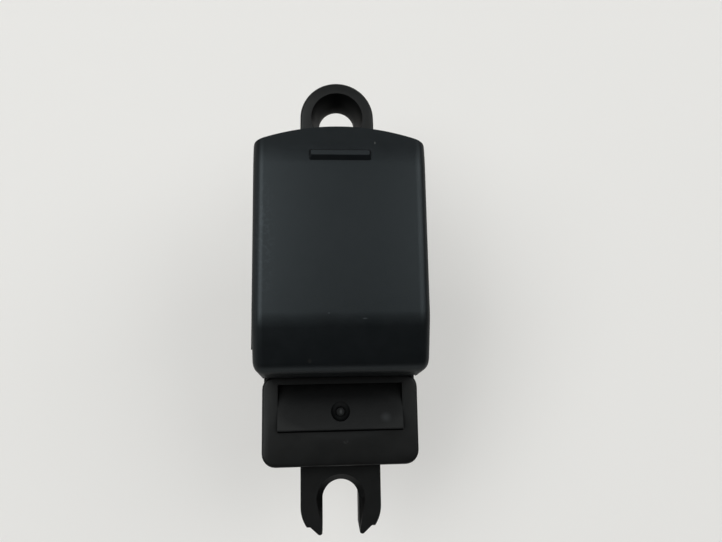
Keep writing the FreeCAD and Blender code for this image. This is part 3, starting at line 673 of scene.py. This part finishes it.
@dataclass
class Knob:
    """The rocker: a hollow paddle with an arched far lip, a finger bar and a notched near wall.

    Sizes are in millimetres, angles in degrees.
    """

    half: float = 11.8
    wall: float = 1.4
    top: float = 43.0
    skirt: float = 30.8
    far: float = 22.13
    arch: float = 2.4
    arch_steps: int = 18
    trim: float = 0.02
    far_corner: float = 0.7
    edge: float = 1.6
    roll_y: float = 18.0
    roll_drop: float = 1.0
    roll_radius: float = 14.0
    crease_y: float = -4.5
    crease_radius: float = 7.0
    facet_turn: float = 17.0
    nose_radius: float = 2.2
    face_lean: float = 9.4
    foot_y: float = -13.0
    lip: float = 2.3
    lip_turn: float = 4.0
    inner_radius: float = 0.6
    scoop_y: float = 13.8
    scoop_lean: float = 16.7
    scoop_radius: float = 3.5
    notch_half: float = 11.95
    notch_y: float = -11.61
    notch_top: float = 36.0
    notch_radius: float = 2.45
    bar_y: float = 17.7
    bar_half_width: float = 4.2
    bar_half_length: float = 0.75
    bar_height: float = 0.45
    bar_near_slope: float = 0.6
    bar_far_slope: float = 0.28
    bar_end_slope: float = 0.26
    bar_corner: float = 0.25
    bar_root: float = 0.2
    pivot: Pair = (1.5, 33.5)
    bore_radius: float = 2.05
    boss_radius: float = 2.6
    boss_depth: float = 1.4
    boss_root: float = 0.05
    boss_offset: float = 6.5

    def outline(self, inset: float, bottom: float) -> list[Corner]:
        """Gives the side view of the top, near wall and, with no inset, the lip.

        Args:
            inset: how far inside the outer skin it lies.
            bottom: its lowest Z.

        Returns:
            The corners, in order.
        """
        lean = math.radians(self.face_lean)
        facet = math.radians(self.facet_turn)
        top = self.top - inset
        foot = (self.foot_y + inset / math.cos(lean), self.skirt)
        near = crossing(foot, 90 - self.face_lean, (0, bottom), 0)
        drop = inset / math.cos(facet) - inset
        nose = crossing((self.crease_y, top - drop), self.facet_turn, foot, 90 - self.face_lean)
        crease = crossing(nose, self.facet_turn, (0, top), 0)
        scoop = (self.scoop_y - inset / math.cos(math.radians(self.scoop_lean)), self.skirt)
        corners = [
            Corner(near[0], bottom),
            Corner(*nose, max(self.nose_radius - inset, self.inner_radius), 10),
            Corner(*crease, self.crease_radius - inset, 8),
        ]
        if inset:
            roof = crossing(scoop, 90 - self.scoop_lean, (0, top), 0)
            corners.append(Corner(*roof, self.inner_radius))
        else:
            tip = top - self.roll_drop
            under = tip - self.lip
            turn = crossing(scoop, 90 - self.scoop_lean, (self.far, under), self.lip_turn)
            slope = self.roll_drop / (self.far - self.roll_y)
            corners += [
                Corner(self.roll_y, top, self.roll_radius, 8),
                Corner(self.far + FAR_PAST, tip - slope * FAR_PAST),
                Corner(self.far + FAR_PAST, under),
                Corner(*turn, self.scoop_radius, 8),
            ]
        low_far = crossing(scoop, 90 - self.scoop_lean, (0, bottom), 0)
        corners.append(Corner(low_far[0], bottom))
        return corners

    def plan(self) -> list[Corner]:
        """Gives the knob from above: parallel sides and an arched far edge.

        Returns:
            The corners, in order.
        """
        near = self.foot_y - 2 * FAR_PAST
        corners = [Corner(-self.half, near), Corner(self.half, near)]
        for k in range(self.arch_steps, -self.arch_steps - 1, -1):
            share = k / self.arch_steps
            radius = self.far_corner if abs(k) == self.arch_steps else 0.0
            corners.append(Corner(self.half * share, self.far - self.arch * share ** 2, radius))
        return corners

    def skin(self) -> Form:
        """Makes the outer form, rounded along its sides and trimmed to its plan.

        Returns:
            The solid.
        """
        side = self.half + self.trim
        form = Form.block(self.outline(0.0, self.skirt), Plane.SIDE, -side, side)
        under = self.top - self.roll_drop - self.lip / 2

        def along_side(a: Vector, b: Vector) -> bool:
            """Says whether an edge runs round the top of one side face."""
            at_side = abs(abs(a.x) - side) < HAIR and abs(a.x - b.x) < HAIR
            middle = (a + b) / 2
            beneath = middle.y > self.scoop_y - PAST and middle.z < under
            end = abs(a.y - b.y) < HAIR and middle.y > self.far
            return at_side and middle.z > self.skirt + HAIR and not beneath and not end

        form.round_edges(along_side, self.edge + self.trim, 8)
        plan = Form.block(self.plan(), Plane.PLAN, self.skirt - FAR_PAST, self.top + FAR_PAST)
        return form.joined([plan], Join.KEEP)

    def bar(self) -> Form:
        """Makes the raised finger bar, with a long near slope and short slopes on the other sides.

        Returns:
            The solid.
        """
        x, y = self.bar_half_width, self.bar_half_length
        outline = rectangle(x, self.bar_y - y, self.bar_y + y, self.bar_corner)
        form = Form.block(outline, Plane.PLAN, self.top - self.bar_root, self.top)
        top = [f for f in form.net.faces if f.calc_center_median().z > self.top - HAIR]
        near, far, end = self.bar_near_slope, self.bar_far_slope, self.bar_end_slope
        moved = form.raise_faces(top, Vector((0, 0, self.bar_height)))
        share = ((x - end) / x, (2 * y - near - far) / (2 * y), 1)
        bmesh.ops.scale(form.net, vec=share, verts=moved, space=Matrix.Translation((0, -self.bar_y, 0)))
        bmesh.ops.translate(form.net, vec=(0, (near - far) / 2, 0), verts=moved)
        return form

    def inner_bosses(self) -> list[Form]:
        """Makes the two faces that the plungers press on.

        Returns:
            The solids.
        """
        roof = self.top - self.wall
        low, high = roof - self.boss_depth, roof + self.boss_root
        places = [(0, self.pivot[0] + side * self.boss_offset) for side in (-1, 1)]
        return [Form.turned(self.boss_radius, low, high, at, Plane.PLAN) for at in places]

    def build(self, palette: Palette) -> Thing:
        """Makes the whole knob.

        Args:
            palette: a material for each slot.

        Returns:
            The finished piece.
        """
        inner = self.half - self.wall
        hollow = Form.block(self.outline(self.wall, self.skirt - FAR_PAST), Plane.SIDE, -inner, inner)
        notch = Form.block(
            rectangle(self.notch_half, self.foot_y - 2 * FAR_PAST, self.notch_y, self.notch_radius),
            Plane.PLAN, self.skirt - FAR_PAST, self.notch_top,
        )
        bores = [
            Form.turned(self.bore_radius, low, low + FAR_PAST, self.pivot, Plane.SIDE)
            for low in (inner - PAST, PAST - inner - FAR_PAST)
        ]
        form = self.skin().joined([hollow], Join.CUT)
        form = form.joined([self.bar(), *self.inner_bosses()], Join.ADD)
        form = form.joined([notch, *bores], Join.CUT)
        knob = form.piece("rocker_knob")
        knob.data.materials.append(palette[Slot.KNOB])
        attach(knob, "rocker")
        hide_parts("knob")
        log.info("knob: outer skin, hollow, notch, finger bar, bosses and pin holes")
        return knob


def arc(centre: Pair, radius: float, start: float, end: float, steps: int) -> list[Corner]:
    """Gives the points of an arc.

    Args:
        centre: its centre's u and v.
        radius: its radius.
        start: angle of its first point from +u toward +v, in degrees.
        end: angle of its last point.
        steps: how many chords it has.

    Returns:
        The points, both ends included.
    """
    turns = [math.radians(start + (end - start) * k / steps) for k in range(steps + 1)]
    return [Corner(centre[0] + radius * math.cos(t), centre[1] + radius * math.sin(t)) for t in turns]


@dataclass
class Case:
    """The housing: drafted body, deck block with its pad, tower with pins, two ears and side lugs.

    Sizes are in millimetres.
    """

    half: float = 11.5
    near: float = -25.2
    far: float = 16.0
    bottom: float = 14.0
    shoulder: float = 28.4
    corner: float = 2.0
    draft: float = 0.4
    wall: float = 1.6
    inner_corner: float = 0.6
    deck_far: float = -12.06
    deck_top: float = 31.4
    deck_edge: float = 0.45
    pad_half: float = 9.2
    pad_far: float = -13.4
    pad_length: float = 6.6
    pad_sink: float = 0.8
    pad_rise: float = 0.7
    pad_edge: float = 0.2
    pad_root: float = 0.4
    pad_bend: float = 2.4
    pad_dip: float = 0.35
    pad_bend_radius: float = 8.0
    foot_width: float = 0.28
    foot_depth: float = 0.4
    foot_overlap: float = 0.1
    gate_inset: float = 4.0
    gate_radius: float = 1.4
    gate_depth: float = 0.5
    nub_radius: float = 0.72
    nub_taper: float = 0.8
    nub_height: float = 0.55
    nub_root: float = 0.3
    pivot: Pair = (1.5, 33.5)
    tower_half: float = 10.0
    tower_length: float = 20.0
    tower_top: float = 37.5
    tower_edge: float = 1.5
    pin_radius: float = 2.0
    pin_end: float = 11.5
    pin_lead: float = 0.7
    ceiling: float = 22.3
    bore_floor: float = 24.0
    bore_radius: float = 2.56
    bore_offset: float = 6.5
    well_half: Pair = (2.95, 2.92)
    ear_radius: float = 6.0
    ear_thickness: float = 5.2
    ear_edge: float = 0.45
    ring_y: float = 29.47
    hole_radius: float = 3.0
    lead_in_radius: float = 4.2
    lead_in_depth: float = 2.7
    lead_in_past: float = 0.5
    slot_y: float = -30.53
    slot_half: float = 2.75
    slot_chamfer: float = 0.9
    side_past_slot: float = 0.9
    shoulder_radius: float = 5.0
    step_reach: float = 3.8
    step_width: float = 0.5
    tip_reach: float = 4.94
    tip_radius: float = 0.4
    rib_width: float = 1.4
    rib_inset: float = 0.4
    rib_root: float = 0.5
    rib_drop: float = 5.0
    lug_y: float = -5.7
    lug_length: float = 5.0
    lug_reach: float = 2.1
    lug_height: float = 5.6
    lug_drop: float = 0.2
    lug_face: float = 1.3
    lug_root: float = 0.1
    lug_edges: Pair = (0.3, 0.4)
    window_half: float = 1.95
    window_z: Pair = (17.45, 19.45)
    window_y: Pair = (-18.6, 11.1)

    def body(self) -> Form:
        """Makes the drafted block, wider at the shoulder than at the base.

        Returns:
            The solid.
        """
        in_by = self.draft
        low = rectangle(self.half - in_by, self.near + in_by, self.far - in_by, self.corner)
        form = Form.block(low, Plane.PLAN, self.bottom, self.shoulder)
        middle = (self.near + self.far) / 2
        length = (self.far - self.near) / 2
        grow = (self.half / (self.half - in_by), length / (length - in_by), 1)
        top = [v for v in form.net.verts if v.co.z > self.shoulder - HAIR]
        bmesh.ops.scale(form.net, vec=grow, verts=top, space=Matrix.Translation((0, -middle, 0)))
        return form

    def deck(self) -> Form:
        """Makes the raised block in front of the knob.

        Returns:
            The solid.
        """
        corners = rectangle(self.half, self.near, self.deck_far, self.corner)
        form = Form.block(corners, Plane.PLAN, self.shoulder - PAST, self.deck_top)
        return form.round_edges(lambda a, b: min(a.z, b.z) > self.deck_top - HAIR, self.deck_edge, 4)

    def pad_level(self, away: float) -> float:
        """Gives the Z of the pad's straight slope this far from its far edge."""
        rise = (self.pad_sink + self.pad_rise) / self.pad_length
        return self.deck_top - self.pad_sink + rise * away

    def pad(self) -> tuple[Form, Form, Form]:
        """Makes the pad that dips toward the knob, the pocket that it lies in and the groove at its foot.

        Returns:
            The pad, the pocket and the groove.
        """
        near = self.pad_far - self.pad_length
        bend = (self.pad_far - self.pad_bend, self.pad_level(self.pad_bend))
        floor = self.deck_top - self.pad_sink - self.pad_dip
        root = floor - self.pad_root
        wedge = Form.block(
            [
                Corner(self.pad_far, floor),
                Corner(*bend, self.pad_bend_radius, 10),
                Corner(near, self.deck_top + self.pad_rise, self.pad_edge, 3),
                Corner(near, root),
                Corner(self.pad_far, root),
            ],
            Plane.SIDE, -self.pad_half, self.pad_half,
        )
        pocket = Form.block(
            rectangle(self.pad_half, near, self.pad_far), Plane.PLAN, floor, self.deck_top + FAR_PAST
        )
        groove = Form.block(
            rectangle(self.pad_half, near - self.foot_width, near + self.foot_overlap),
            Plane.PLAN, self.deck_top - self.foot_depth, self.deck_top + FAR_PAST,
        )
        return wedge, pocket, groove

    def gate(self) -> tuple[Form, Form]:
        """Makes the round mark where the moulding was fed: a groove and its nub.

        Returns:
            What is cut and what stands in it.
        """
        at = (0, self.pad_far - self.gate_inset)
        level = self.pad_level(self.gate_inset)
        floor = level - self.gate_depth
        groove = Form.turned(self.gate_radius, floor, level + PAST, at, Plane.PLAN)
        r, low, high = self.nub_radius, floor - self.nub_root, floor + self.nub_height
        return groove, Form.turned(r, low, high, at, Plane.PLAN, 24, r * self.nub_taper)

    def tower(self) -> list[Form]:
        """Makes the pedestal under the knob and its two pins with chamfered ends.

        Returns:
            The solids.
        """
        near = self.pivot[0] - self.tower_length / 2
        far = self.pivot[0] + self.tower_length / 2
        block = Form.block(
            [
                Corner(near, self.shoulder - PAST),
                Corner(far, self.shoulder - PAST),
                Corner(far, self.tower_top, self.tower_edge),
                Corner(near, self.tower_top, self.tower_edge),
            ],
            Plane.SIDE, -self.tower_half, self.tower_half,
        )
        r, start = self.pin_radius, self.pin_end - self.pin_lead
        tip = r - self.pin_lead
        pin = Form.turned(r, self.tower_half - PAST, start, self.pivot, Plane.SIDE)
        lead = Form.turned(r, start - HAIR, self.pin_end, self.pivot, Plane.SIDE, end_radius=tip)
        return [block, *pin.joined([lead], Join.ADD).both()]

    def ring_ear(self) -> Form:
        """Makes the far ear, a tongue with a round end and a softened top rim.

        Returns:
            The solid.
        """
        r = self.ear_radius
        root = self.far - PAST
        outline = [Corner(-r, root), Corner(r, root), *arc((0, self.ring_y), r, 0, 180, 32)]
        form = Form.block(outline, Plane.PLAN, self.shoulder - self.ear_thickness, self.shoulder)
        return form.round_edges(self.at_top(lambda p: p.y > self.far), self.ear_edge, 3)

    def fork_ear(self) -> Form:
        """Makes the near ear: an open slot with a chamfered rim between two stepped, tapering tips.

        Returns:
            The solid.
        """
        r, w, t = self.ear_radius, self.slot_half, self.tip_radius
        shoulder = (r - self.shoulder_radius, self.slot_y - self.side_past_slot)
        lean = -math.asin((self.step_reach - self.side_past_slot) / self.shoulder_radius)
        side = shoulder[0] + self.shoulder_radius * math.cos(lean)
        step = (side - self.step_width, self.slot_y - self.step_reach)
        tip = (w + t, self.slot_y - self.tip_reach + t)
        away = (step[0] - tip[0], step[1] - tip[1])
        touch = math.degrees(math.atan2(away[1], away[0]) - math.acos(t / math.hypot(*away)))
        right = [
            Corner(r, self.near + PAST),
            *arc(shoulder, self.shoulder_radius, 0, math.degrees(lean), 10),
            Corner(*step),
            *arc(tip, t, touch, -180, 6),
        ]
        left = [Corner(-c.u, c.v) for c in reversed(right)]
        form = Form.block(
            [*right, *arc((0, self.slot_y), w, 0, 180, 24), *left],
            Plane.PLAN, self.shoulder - self.ear_thickness, self.shoulder,
        )

        def on_slot(p: Vector) -> bool:
            """Says whether a point lies on the slot's wall."""
            if p.y > self.slot_y:
                return abs(math.hypot(p.x, p.y - self.slot_y) - w) < HAIR
            return abs(abs(p.x) - w) < HAIR

        return form.round_edges(self.at_top(on_slot), self.slot_chamfer, 1)

    def at_top(self, test: Callable[[Vector], bool]) -> Callable[[Vector, Vector], bool]:
        """Makes a test for edges on the ears' top face whose two ends also pass this one."""
        return lambda a, b: min(a.z, b.z) > self.shoulder - HAIR and test(a) and test(b)

    def ribs(self, end: float, root: float) -> list[Form]:
        """Makes the two triangular ribs that brace an ear.

        Args:
            end: Y of the ear's centre.
            root: Y of the wall that it grows from.

        Returns:
            The solids.
        """
        away = math.copysign(1.0, end - root)
        reach = away * (abs(end - root) - self.ear_radius / 2)
        under = self.shoulder - self.ear_thickness
        outer = self.ear_radius - self.rib_inset
        return Form.block(
            [
                Corner(root - away * PAST, under + self.rib_root),
                Corner(root + reach, under + self.rib_root),
                Corner(root + reach, under),
                Corner(root, under - self.rib_drop),
                Corner(root - away * PAST, under - self.rib_drop),
            ],
            Plane.SIDE, outer - self.rib_width, outer,
        ).both()

    def lugs(self) -> list[Form]:
        """Makes the wedge-shaped lugs on the two long sides.

        Returns:
            The solids.
        """
        root = self.half - PAST
        tip = self.half + self.lug_reach
        top = self.shoulder - self.lug_drop
        upper, lower = self.lug_edges
        return Form.block(
            [
                Corner(root, top),
                Corner(tip, top, upper, 3),
                Corner(tip, top - self.lug_face, lower, 3),
                Corner(self.half - self.lug_root, self.shoulder - self.lug_height),
                Corner(root, self.shoulder - self.lug_height),
            ],
            Plane.SECTION, self.lug_y - self.lug_length / 2, self.lug_y + self.lug_length / 2,
        ).both()

    def hollows(self) -> list[Form]:
        """Makes what is cut from inside: chamber, deck room, stem well, plunger bores and latch windows.

        Returns:
            The solids.
        """
        half = self.half - self.draft - self.wall
        near = self.near + self.draft + self.wall
        far = self.far - self.draft - self.wall
        low = self.bottom - PAST
        rooms = [
            (far, self.ceiling),
            (self.pivot[0] - self.tower_length / 2, self.shoulder - self.wall),
            (self.deck_far - self.wall, self.deck_top - self.pad_sink - self.wall),
        ]
        r = self.inner_corner
        cuts = [Form.block(rectangle(half, near, end, r), Plane.PLAN, low, roof) for end, roof in rooms]
        wide, long = self.well_half
        well = rectangle(wide, self.pivot[0] - long, self.pivot[0] + long)
        top = self.tower_top + PAST
        cuts.append(Form.block(well, Plane.PLAN, self.ceiling - PAST, top))
        for side in (-1, 1):
            at = (0, self.pivot[0] + side * self.bore_offset)
            cuts.append(Form.turned(self.bore_radius, self.bore_floor, top, at, Plane.PLAN))
        sill, head = self.window_z
        for y in self.window_y:
            start, end = y - self.window_half, y + self.window_half
            corners = [Corner(start, sill), Corner(end, sill), Corner(end, head), Corner(start, head)]
            cuts += Form.block(corners, Plane.SIDE, self.half - FAR_PAST, self.half + PAST).both()
        return cuts

    def ring_hole(self) -> list[Form]:
        """Makes the ear's bore and its conical lead-in.

        Returns:
            The solids.
        """
        at = (0, self.ring_y)
        start = self.shoulder - self.lead_in_depth
        r = self.hole_radius
        bore = Form.turned(r, self.bottom, self.shoulder + PAST, at, Plane.PLAN, 64)
        rim = self.lead_in_radius + (self.lead_in_radius - r) / self.lead_in_depth * self.lead_in_past
        cone = Form.turned(r, start, self.shoulder + self.lead_in_past, at, Plane.PLAN, 64, rim)
        return [bore, cone]

    def build(self, palette: Palette) -> Thing:
        """Makes the whole case.

        Args:
            palette: a material for each slot.

        Returns:
            The finished piece.
        """
        wedge, pocket, foot = self.pad()
        groove, nub = self.gate()
        added = [self.deck(), *self.tower(), self.ring_ear(), self.fork_ear(), *self.lugs()]
        added += self.ribs(self.ring_y, self.far) + self.ribs(self.slot_y, self.near)
        form = self.body().joined(added, Join.ADD)
        form = form.joined([*self.hollows(), *self.ring_hole(), pocket, foot], Join.CUT)
        form = form.joined([wedge], Join.ADD)
        form = form.joined([groove], Join.CUT)
        form = form.joined([nub], Join.ADD)
        case = form.piece("switch_case")
        case.data.materials.append(palette[Slot.CASE])
        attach(case, "housing")
        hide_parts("case")
        log.info("case: body, deck block, pad, tower, pins, ears, ribs, lugs and windows")
        return case


@dataclass
class InnerParts:
    """The base, terminals and moving pieces inside, taken from the frame with their edges eased.

    Edge radii and sizes are in millimetres, turns in degrees.
    """

    moulded_edge: float = 0.10
    metal_edge: float = 0.04
    wire_edge: float = 0.05
    same_place: float = 2e-4
    flat_turn: float = 0.5
    smooth_turn: float = 30.0

    def edge(self, slot: Slot) -> float:
        """Gives the edge radius for a slot."""
        if slot is Slot.WIRE:
            return self.wire_edge
        return self.moulded_edge if slot in (Slot.BASE, Slot.ACETAL) else self.metal_edge

    def piece(self, name: str, body: str, slot: Slot, palette: Palette) -> Thing:
        """Copies one node as a finished piece.

        Args:
            name: the node.
            body: the body it rides.
            slot: its material slot.
            palette: a material for each slot.

        Returns:
            The finished piece.
        """
        form = Form()
        net = form.net
        net.from_mesh(frame["nodes"][name].data)
        bmesh.ops.scale(net, vec=(1 / MM, 1 / MM, 1 / MM), verts=net.verts)
        bmesh.ops.remove_doubles(net, verts=net.verts, dist=self.same_place)
        flat = math.radians(self.flat_turn)
        bmesh.ops.dissolve_limit(net, angle_limit=flat, verts=net.verts, edges=net.edges)
        bmesh.ops.recalc_face_normals(net, faces=net.faces)
        thing = form.piece(name + "_piece", self.edge(slot), self.smooth_turn)
        thing.data.materials.append(palette[slot])
        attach(thing, body)
        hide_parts(name)
        log.info("%s: eased copy on %s", name, body)
        return thing

    def shorten(self, spring: Thing) -> None:
        """Gives a return spring its own copy of its mesh.

        Args:
            spring: the finished spring.
        """
        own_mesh(spring)

    def build(self, palette: Palette) -> list[Thing]:
        """Copies every piece other than the knob and the case.

        Args:
            palette: a material for each slot.

        Returns:
            The finished pieces.
        """
        behaviour = frame["record"]["behaviour"]
        slots = {s["node"]: Slot(s["material_slot"]) for s in frame["record"]["subparts"]}
        joints = behaviour["joints"]
        pressed = {spring["node"]: joint for joint in joints for spring in joint.get("deforming_nodes", [])}
        made = []
        for body, names in behaviour["bodies"].items():
            for name in names:
                if slots[name] in (Slot.KNOB, Slot.CASE):
                    continue
                made.append(self.piece(name, body, slots[name], palette))
                if name in pressed:
                    self.shorten(made[-1])
        return made


@dataclass(frozen=True)
class Lamp:
    """A soft rectangular lamp that faces the unit.

    It stands azimuth degrees from +X toward +Y in plan and tilt degrees from straight above. Its size is in
    millimetres, and its face looks white at a radiance of 1.
    """

    name: str
    azimuth: float
    tilt: float
    size: Pair
    radiance: float


LAMPS = (
    Lamp("far_lamp", azimuth=87.0, tilt=13.0, size=(1200.0, 480.0), radiance=0.735),
    Lamp("left_lamp", azimuth=163.0, tilt=33.5, size=(640.0, 400.0), radiance=3.53),
    Lamp("right_lamp", azimuth=21.0, tilt=44.5, size=(470.0, 620.0), radiance=2.25),
    Lamp("side_lamp", azimuth=178.0, tilt=76.0, size=(700.0, 220.0), radiance=1.05),
    Lamp("back_lamp", azimuth=90.0, tilt=62.0, size=(1200.0, 400.0), radiance=0.6),
    Lamp("near_lamp", azimuth=268.0, tilt=83.0, size=(1200.0, 170.0), radiance=1.02),
)


@dataclass
class Studio:
    """Pale floor, soft lamps and the camera at the photograph's angle.

    Places are in millimetres, angles in degrees.
    """

    floor_half: float = 1500.0
    floor_colour: Colour = (0.50, 0.497, 0.482)
    floor_drop: float = 0.05
    floor_glow: float = 0.76
    floor_roughness: float = 0.8
    floor_shine: float = 0.1
    world_level: float = 0.052
    horizon: Colour = (0.74, 0.735, 0.71)
    lamp_distance: float = 800.0
    camera_at: Triple = (-2.27, -8.303, 113.79)
    camera_turn: Triple = (8.16, -3.774, -0.929)
    camera_lens: float = 27.198
    camera_clip: float = 5.0
    sensor_width: float = 36.0

    def floor(self) -> None:
        """Lays the floor at the height that the unit stands on."""
        net = bmesh.new()
        bmesh.ops.create_grid(net, x_segments=2, y_segments=2, size=self.floor_half * MM)
        mesh = bpy.data.meshes.new("floor")
        net.to_mesh(mesh)
        net.free()
        slab = placed("floor", mesh)
        slab.location.z = -self.floor_drop * MM
        shader = Shader("floor_paint")
        paint = shader.surface.inputs
        paint["Base Color"].default_value = (*self.floor_colour, 1.0)
        paint["Roughness"].default_value = self.floor_roughness
        paint["Specular IOR Level"].default_value = self.floor_shine
        paint["Emission Color"].default_value = (*self.floor_colour, 1.0)
        seen = shader.add("ShaderNodeLightPath").outputs["Is Camera Ray"]
        shader.join(shader.calculate("MULTIPLY", seen, self.floor_glow), paint["Emission Strength"])
        mesh.materials.append(shader.material)

    def world(self) -> None:
        """Sets an even, low light from all round, behind a pale backdrop."""
        world = bpy.data.worlds.new("room")
        world.use_nodes = True
        tree = world.node_tree
        back = tree.nodes["Background"]
        mix = tree.nodes.new("ShaderNodeMix")
        mix.data_type = "RGBA"
        mix.inputs[6].default_value = (*[self.world_level] * 3, 1.0)
        mix.inputs[7].default_value = (*self.horizon, 1.0)
        path = tree.nodes.new("ShaderNodeLightPath")
        tree.links.new(path.outputs["Is Camera Ray"], mix.inputs[0])
        tree.links.new(mix.outputs[2], back.inputs["Color"])
        bpy.context.scene.world = world

    def hang(self, lamp: Lamp) -> None:
        """Hangs a lamp, unseen by the camera.

        Args:
            lamp: where it stands, how large it is and how bright.
        """
        across, upright = (side * MM for side in lamp.size)
        turn = math.radians(lamp.azimuth)
        lean = math.radians(lamp.tilt)
        away = Vector((math.sin(lean) * math.cos(turn), math.sin(lean) * math.sin(turn), math.cos(lean)))
        data = bpy.data.lights.new(lamp.name, "AREA")
        data.shape = "RECTANGLE"
        data.size = across
        data.size_y = upright
        data.energy = lamp.radiance * math.pi * across * upright
        thing = placed(lamp.name, data)
        thing.location = away * self.lamp_distance * MM
        thing.rotation_euler = away.to_track_quat("Z", "Y").to_euler()
        thing.visible_camera = False

    def camera(self) -> None:
        """Places the camera as the photograph was taken."""
        data = bpy.data.cameras.new("camera")
        data.sensor_width = self.sensor_width
        data.lens = self.camera_lens
        data.clip_start = self.camera_clip * MM
        camera = placed("camera", data)
        camera.location = Vector(self.camera_at) * MM
        camera.rotation_euler = Euler([math.radians(a) for a in self.camera_turn], "XYZ")
        bpy.context.scene.camera = camera

    def build(self) -> None:
        """Makes the floor, the world, the lamps and the camera."""
        self.floor()
        self.world()
        for lamp in LAMPS:
            self.hang(lamp)
        self.camera()
        bpy.context.scene.view_settings.view_transform = "Standard"
        log.info("studio: floor, world, %d lamps, camera", len(LAMPS))


def main() -> None:
    """Builds the studio and every piece, in order."""
    logging.basicConfig(level=logging.INFO, format="%(name)s %(message)s")
    Studio().build()
    palette = {slot: FINISHES[slot].material() for slot in Slot}
    Knob().build(palette)
    Case().build(palette)
    InnerParts().build(palette)
    bpy.context.view_layer.update()


if __name__ == "__main__":
    main()
